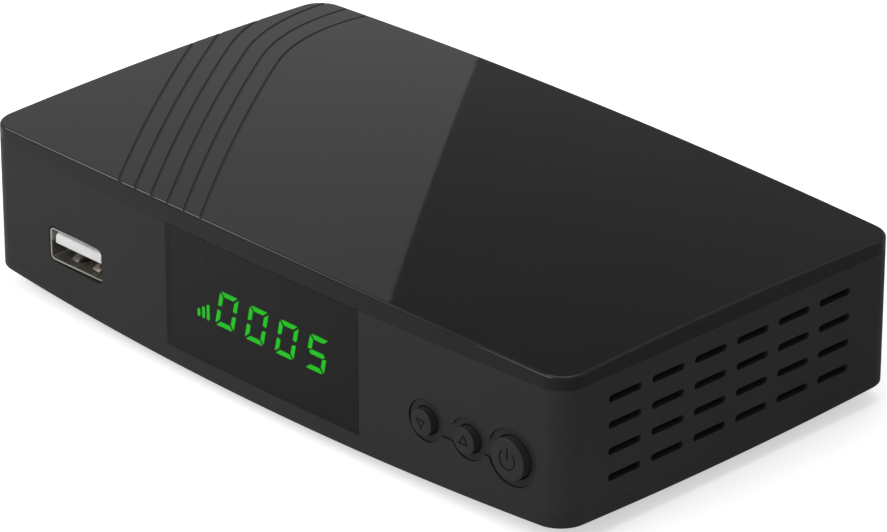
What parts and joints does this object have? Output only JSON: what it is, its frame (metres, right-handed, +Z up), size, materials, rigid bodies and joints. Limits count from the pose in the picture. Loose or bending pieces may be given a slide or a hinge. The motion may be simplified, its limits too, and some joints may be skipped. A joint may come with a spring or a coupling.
{
  "type": "set-top box",
  "caption": "Small flat terrestrial TV receiver: crowned glossy lid with curved grooves, vented satin wall, smoked window with a green display, USB socket, push buttons, rear sockets.",
  "frame": {"origin": "on the table under the middle of the whole box, sockets included", "axes": "+X along the front towards the buttons, +Y from the front to the rear sockets, +Z up"},
  "size_m": [0.1312, 0.0851, 0.0308],
  "materials": {
    "case_gloss": "glossy black with shallow curved grooves",
    "case_satin": "satin dark grey to black",
    "smoked_window": "smoked clear plastic, polished",
    "foot_rubber": "matte black rubber",
    "black_steel": "blackened steel",
    "button_plastic": "satin dark grey with a sign cut in",
    "key_plastic": "black moulding",
    "tin_plate": "tinned sheet",
    "board_green": "green lacquered board",
    "zinc_steel": "zinc plated steel",
    "display_body": "black display body",
    "lit_green": "lit green strokes",
    "unlit_green": "dark unlit strokes",
    "infrared_plastic": "dark infrared moulding",
    "chip_black": "black moulded chip",
    "black_plastic": "black moulding",
    "gilt_contact": "gilt contact",
    "pad_rubber": "grey heat pad",
    "anodised_aluminium": "dark anodised fins",
    "ferrite": "dark grey ferrite",
    "capacitor_sleeve": "dark blue sleeve",
    "nickel_plate": "nickel plated",
    "pale_plastic": "pale grey moulding"
  },
  "bodies": {
    "case": {"top_cover": "case_gloss", "wall_ring": "case_satin", "bottom_cover": "case_satin", "display_window": "smoked_window", "rubber_feet": "foot_rubber", "case_screws": "black_steel", "down_switch_base": "key_plastic", "up_switch_base": "key_plastic", "power_switch_base": "key_plastic", "down_switch_cover": "tin_plate", "up_switch_cover": "tin_plate", "power_switch_cover": "tin_plate", "contact_domes": "tin_plate", "crystal": "tin_plate", "tuner_frame": "tin_plate", "tuner_lid": "tin_plate", "av_contacts": "tin_plate", "dc_jack_spring": "tin_plate", "front_board": "board_green", "main_board": "board_green", "front_board_screws": "zinc_steel", "board_screws": "zinc_steel", "display_housing": "display_body", "lit_segments": "lit_green", "dark_segments": "unlit_green", "infrared_receiver": "infrared_plastic", "display_driver": "chip_black", "processor": "chip_black", "memory_chip": "chip_black", "flash_chip": "chip_black", "regulators": "chip_black", "header_body": "black_plastic", "hdmi_tongue": "black_plastic", "av_jack_body": "black_plastic", "dc_jack_body": "black_plastic", "header_pins": "gilt_contact", "usb_contacts": "gilt_contact", "hdmi_contacts": "gilt_contact", "aerial_in_contact": "gilt_contact", "aerial_out_pin": "gilt_contact", "thermal_pad": "pad_rubber", "heat_sink": "anodised_aluminium", "inductors": "ferrite", "capacitors": "capacitor_sleeve", "usb_shell": "nickel_plate", "hdmi_shell": "nickel_plate", "av_jack_bush": "nickel_plate", "dc_jack_pin": "nickel_plate", "aerial_in_shell": "nickel_plate", "aerial_out_shell": "nickel_plate", "usb_tongue": "pale_plastic", "aerial_in_insulator": "pale_plastic", "aerial_out_insulator": "pale_plastic"},
    "down_cap": {"down_button": "button_plastic"},
    "up_cap": {"up_button": "button_plastic"},
    "power_cap": {"power_button": "button_plastic"},
    "down_pusher": {"down_plunger": "key_plastic"},
    "up_pusher": {"up_plunger": "key_plastic"},
    "power_pusher": {"power_plunger": "key_plastic"}
  },
  "joints": [
    {"name": "down_press", "type": "slide", "parent": "case", "child": "down_cap", "axis": [0, 1, 0], "range_m": [0, 0.0003], "stiffness_N_per_m": 800},
    {"name": "down_push", "type": "slide", "parent": "case", "child": "down_pusher", "axis": [0, 1, 0], "range_m": [0, 0.0003]},
    {"name": "up_press", "type": "slide", "parent": "case", "child": "up_cap", "axis": [0, 1, 0], "range_m": [0, 0.0003], "stiffness_N_per_m": 800},
    {"name": "up_push", "type": "slide", "parent": "case", "child": "up_pusher", "axis": [0, 1, 0], "range_m": [0, 0.0003]},
    {"name": "power_press", "type": "slide", "parent": "case", "child": "power_cap", "axis": [0, 1, 0], "range_m": [0, 0.0003], "stiffness_N_per_m": 800},
    {"name": "power_push", "type": "slide", "parent": "case", "child": "power_pusher", "axis": [0, 1, 0], "range_m": [0, 0.0003]}
  ],
  "couplings": [
    {"joint": "down_push", "follows": "down_press", "ratio": 1},
    {"joint": "up_push", "follows": "up_press", "ratio": 1},
    {"joint": "power_push", "follows": "power_press", "ratio": 1}
  ]
}
